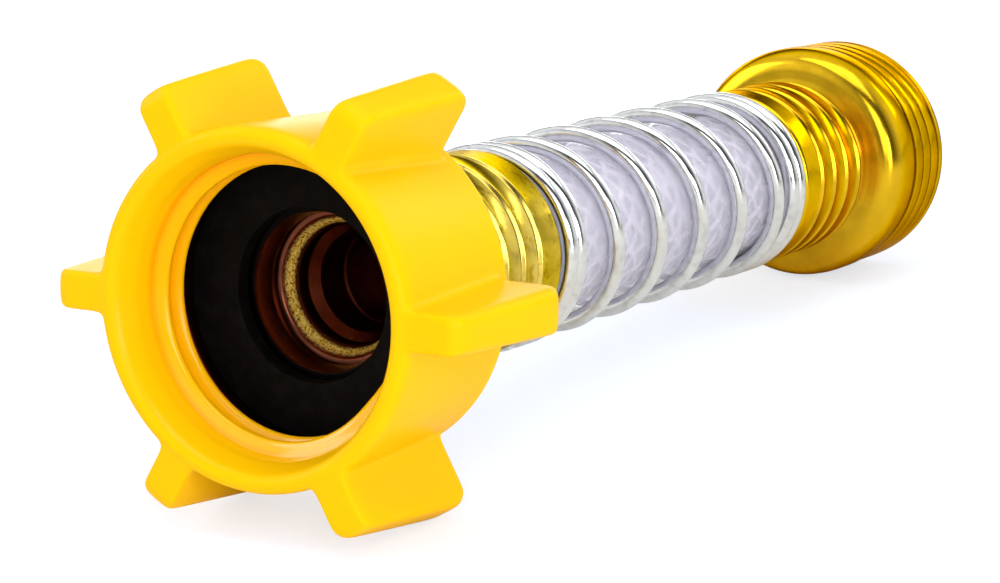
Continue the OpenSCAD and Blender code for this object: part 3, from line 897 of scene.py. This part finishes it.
class BuildHose(bpy.types.Operator):
    """Turns the liner and the clear cover, each as two halves"""

    bl_idname = "hose_protector.hose"
    bl_label = "Liner and cover"

    def execute(self, context):
        sizes = settings().hose
        liner = milky_liner(settings().finish)
        cover = clear_cover(settings().finish)
        tubes = (
            ("liner_tube", "hose_liner", sizes.inner_radius / MM, sizes.liner_radius / MM, liner),
            ("cover_tube", "hose_cover", sizes.cover_inner / MM, COVER_R, cover),
        )
        for name, node, inner, outer, material in tubes:
            for side, x0, x1 in HALVES:
                places = [x0 + (x1 - x0) * i / TUBE_STEPS for i in range(TUBE_STEPS + 1)]
                outline = [(x, outer) for x in places] + [(x, inner) for x in reversed(places)]
                tube = smooth(turned(f"{name}_{side}", outline, 96), 50)
                paint(tube, material)
                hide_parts(node)
                blend_half(tube, side == "inlet")
        return {"FINISHED"}


class BuildBraid(bpy.types.Operator):
    """Weaves both lays of flat yarns, each as two halves"""

    bl_idname = "hose_protector.braid"
    bl_label = "Braid"

    def execute(self, context):
        sizes = settings().hose
        radius, lead = sizes.braid_radius / MM, sizes.yarn_lead / MM
        width, thick = sizes.yarn_width / MM, sizes.yarn_thickness / MM
        crossing = lead / (2 * sizes.yarns)
        slant = sqrt(1 + (2 * pi * radius / lead) ** 2)
        half = width / 2 / radius * slant
        material = white_yarn(settings().finish)

        def yarn(k, hand, x0, x1):
            """One flat yarn between two places, which weaves over and under the other lay."""
            weave = hand * 0.16
            steps = int(ceil((x1 - x0) / crossing * 4))
            rings = []
            for i in range(steps + 1):
                x = x0 + (x1 - x0) * i / steps
                a = 2 * pi * k / sizes.yarns + hand * 2 * pi * (x - HOSE[0]) / lead
                r = radius + weave * cos(pi * (x - HOSE[0]) / crossing)
                ring = []
                for across, up in YARN_SECTION:
                    turn, high = a + across * half, r + up * thick
                    ring.append((x * MM, high * cos(turn) * MM, high * sin(turn) * MM))
                rings.append(ring)
            return swept("yarn", rings)

        for hand, node in ((1, "braid_inner_lay"), (-1, "braid_outer_lay")):
            for side, x0, x1 in HALVES:
                yarns = [yarn(k, hand, x0, x1) for k in range(sizes.yarns)]
                lay = smooth(joined(f"{node}_{side}", yarns), 50)
                paint(lay, material)
                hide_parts(node)
                blend_half(lay, side == "inlet")
        return {"FINISHED"}


class BuildSpring(bpy.types.Operator):
    """Winds the round wire with closed end coils, as two halves"""

    bl_idname = "hose_protector.spring"
    bl_label = "Support spring"

    def execute(self, context):
        sizes = settings().spring
        wire = sizes.wire / MM
        coil = COIL_OUTER_R - wire / 2
        x0, x1 = FERRULE_A[1] + 0.08 + wire / 2, FERRULE_B[0] - 0.08 - wire / 2
        closed, pitch, shut = wire + 0.05, sizes.open_pitch / MM, sizes.closed_turns
        open_turns = (x1 - x0 - 2 * shut * closed) / pitch

        def place(turn):
            """The wire's place along the axis: closed, open, then closed coils."""
            turn = min(max(turn, 0), 2 * shut + open_turns)
            if turn < shut:
                return x0 + closed * turn
            if turn < shut + open_turns:
                return x0 + closed * shut + (turn - shut) * pitch
            return x1 - closed * (2 * shut + open_turns - turn)

        def eased(turn):
            """The same, averaged over a third of a turn, so the wire has no kink."""
            return sum(place(turn + (i - 4) * 0.04) for i in range(9)) / 9

        turns = 2 * shut + open_turns
        steps = int(turns * COIL_STEPS)
        centres = []
        for i in range(steps + 1):
            turn = turns * i / steps
            a = sizes.start_angle + 2 * pi * turn
            centres.append(Vector((eased(turn) * MM, coil * cos(a) * MM, coil * sin(a) * MM)))
        rings = []
        around = [2 * pi * j / WIRE_SIDES for j in range(WIRE_SIDES)]
        for i, centre in enumerate(centres):
            along = (centres[min(i + 1, steps)] - centres[max(i - 1, 0)]).normalized()
            out = Vector((0, centre.y, centre.z)).normalized()
            across = along.cross(out).normalized()
            out = across.cross(along)
            rings.append([centre + (out * cos(b) + across * sin(b)) * wire / 2 * MM for b in around])
        cut = min(range(steps + 1), key=lambda i: abs(centres[i].x - MIDDLE * MM))
        material = bright_wire(settings().finish)
        for side, part in (("inlet", rings[: cut + 1]), ("outlet", rings[cut:])):
            half = smooth(swept(f"spring_wire_{side}", part), 60)
            paint(half, material)
            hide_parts("support_spring")
            blend_half(half, side == "inlet")
        return {"FINISHED"}


# ---------------------------------------------------------------- stage


def either(tree, share, first, second):
    """One shader where share is 0, another where it is 1."""
    return added(tree, "MixShader", {0: share, 1: first, 2: second}).outputs[0]


def lay_floor():
    """Lays a floor that touches the two lower wings and the end of the outlet's thread."""
    down = radians(60)
    wing_edge = 1.55
    wing_low = (WING_TIP * sin(down) + wing_edge * cos(down)) * MM
    touch_x = (NUT_END - 3) * MM
    slope = (wing_low - settings().brass.thread_crest) / ((OUTLET_TIP - 2) * MM - touch_x)
    deselect()
    bpy.ops.mesh.primitive_plane_add(
        size=6, location=(touch_x, 0, -wing_low), rotation=(0, -atan2(slope, 1), 0)
    )
    floor = bpy.context.object
    floor.name = "studio_floor"
    bpy.ops.object.transform_apply(location=True, rotation=True, scale=True)

    # It glows to white for the camera only, keeps its shadow, and is a little dimmer in metal
    material, tree, shader = new_material("studio_floor")
    tint = settings().finish.floor
    put(shader, {"Base Color": tint, "Roughness": 0.9, "Specular IOR Level": 0.1})
    faint = added(tree, "BsdfDiffuse", {"Color": (0.40, 0.43, 0.53, 1)}).outputs[0]
    glow = added(tree, "Emission", {"Color": (0.93, 0.96, 1, 1), "Strength": 0.7}).outputs[0]
    bright = added(tree, "AddShader", {0: faint, 1: glow}).outputs[0]
    dim = added(tree, "BsdfDiffuse", {"Color": (0.80, 0.79, 0.76, 1)}).outputs[0]
    path = added(tree, "LightPath", {}).outputs
    mirrored = either(tree, path["Is Glossy Ray"], shader.outputs[0], dim)
    seen = either(tree, path["Is Camera Ray"], mirrored, bright)
    put(tree.nodes["Material Output"], {0: seen})
    floor.data.materials.append(material)


def toward(tree, way, low, high):
    """How far a direction in the room points one way, from 0 at low to 1 at high."""
    coords = added(tree, "TexCoord", {}).outputs["Generated"]
    way = Vector(way).normalized()
    share = added(tree, "VectorMath", {0: coords, 1: way}, operation="DOT_PRODUCT").outputs["Value"]
    return added(tree, "MapRange", {"Value": share, "From Min": low, "From Max": high}).outputs["Result"]


def surround(scene):
    """Sets pale surroundings, in which metal sees a room of its own."""
    world = bpy.data.worlds.new("white_studio")
    scene.world = world
    world.use_nodes = True
    tree = world.node_tree
    tree.nodes.clear()
    ahead, up, left = (0.86, 0.5, 0), (0, 0, 1), (-0.8, 0.52, 0.3)

    # Metal sees a light room ahead and a dark one behind, a dark card ahead and a light one at the left
    room = ramp(tree, toward(tree, ahead, -1, 1), [
        (0.0, (0.03, 0.03, 0.03)), (0.27, (0.06, 0.06, 0.07)), (0.42, (0.50, 0.50, 0.52)),
        (0.56, (0.92, 0.92, 0.92)), (1.0, (0.95, 0.95, 0.95)),
    ])
    card = ramp(tree, toward(tree, up, -0.1, 1), [
        (0.0, (0, 0, 0)), (0.09, (1, 1, 1)), (0.82, (1, 1, 1)), (0.88, (0, 0, 0)),
    ])
    dark = maths(tree, card, toward(tree, ahead, 0.62, 0.8))
    room = blended(tree, dark, room, (0.05, 0.05, 0.06))
    light = maths(tree, toward(tree, left, 0.72, 0.96), toward(tree, up, 0.02, 0.25))
    room = blended(tree, light, room, (0.95, 0.95, 0.95))
    shiny = added(tree, "Background", {"Color": room}).outputs[0]

    # The camera and clear pieces see plain surroundings, and soft light reaches everything else
    plain = added(tree, "Background", {"Strength": 1.0}).outputs[0]
    soft = added(tree, "Background", {"Strength": 0.46}).outputs[0]
    path = added(tree, "LightPath", {}).outputs
    lit = either(tree, path["Is Glossy Ray"], soft, shiny)
    seen = maths(tree, path["Is Camera Ray"], path["Is Transmission Ray"], "MAXIMUM")
    added(tree, "OutputWorld", {0: either(tree, seen, lit, plain)})


def hang_lamp(scene, name, place, size, power):
    """Hangs a soft lamp that faces the middle of the piece."""
    light = bpy.data.lights.new(name, "AREA")
    light.shape = "RECTANGLE"
    light.size, light.size_y = size
    light.energy = power
    lamp = bpy.data.objects.new(name, light)
    scene.collection.objects.link(lamp)
    lamp.location = place
    lamp.rotation_euler = (Vector(LAMP_AIM) - Vector(place)).to_track_quat("-Z", "Y").to_euler()


def place_camera(scene):
    """Places the camera in front of the nut's mouth, to one side and a little above."""
    camera = bpy.data.cameras.new("main_camera")
    camera.sensor_width = 36
    camera.lens = 109.346
    camera.clip_start = 0.01
    view = bpy.data.objects.new("main_camera", camera)
    scene.collection.objects.link(view)
    right = Vector((0.50892, -0.86077, 0.00867))
    down = Vector((-0.15263, -0.10014, -0.98320))
    forward = Vector((0.84717, 0.49905, -0.18235))
    turn = Matrix((right, -down, -forward)).transposed().to_quaternion().normalized()
    place = Vector((-213.68 + MOUTH, -151.64, 50.54)) * MM
    view.matrix_world = Matrix.Translation(place) @ turn.to_matrix().to_4x4()
    scene.camera = view


class BuildStage(bpy.types.Operator):
    """Floor, soft lamps, pale surroundings and the camera"""

    bl_idname = "hose_protector.stage"
    bl_label = "Floor, lamps and camera"

    def execute(self, context):
        scene = context.scene
        lay_floor()
        surround(scene)
        for lamp in LAMPS:
            hang_lamp(scene, *lamp)
        place_camera(scene)
        scene.view_settings.view_transform = "Standard"
        return {"FINISHED"}


BUILDERS = (
    BuildGripNut, BuildWasher, BuildStem, BuildFerrules, BuildOutlet,
    BuildHose, BuildBraid, BuildSpring, BuildStage,
)


class HoseProtectorPanel(bpy.types.Panel):
    """Lists the steps that build the hose protector"""

    bl_idname = "VIEW3D_PT_hose_protector"
    bl_label = "Hose protector"
    bl_space_type = "VIEW_3D"
    bl_region_type = "UI"
    bl_category = "Hose protector"

    def draw(self, context):
        for builder in BUILDERS:
            self.layout.operator(builder.bl_idname)


CLASSES = (
    NutSizes, BrassSizes, HoseSizes, SpringSizes, Finishes, HoseProtector, *BUILDERS, HoseProtectorPanel,
)


def register():
    for item in CLASSES:
        bpy.utils.register_class(item)
    bpy.types.Scene.hose_protector = PointerProperty(type=HoseProtector)


def unregister():
    del bpy.types.Scene.hose_protector
    for item in reversed(CLASSES):
        bpy.utils.unregister_class(item)


def main():
    register()
    for builder in BUILDERS:
        group, step = builder.bl_idname.split(".")
        getattr(getattr(bpy.ops, group), step)()
    deselect()


if __name__ == "__main__":
    main()
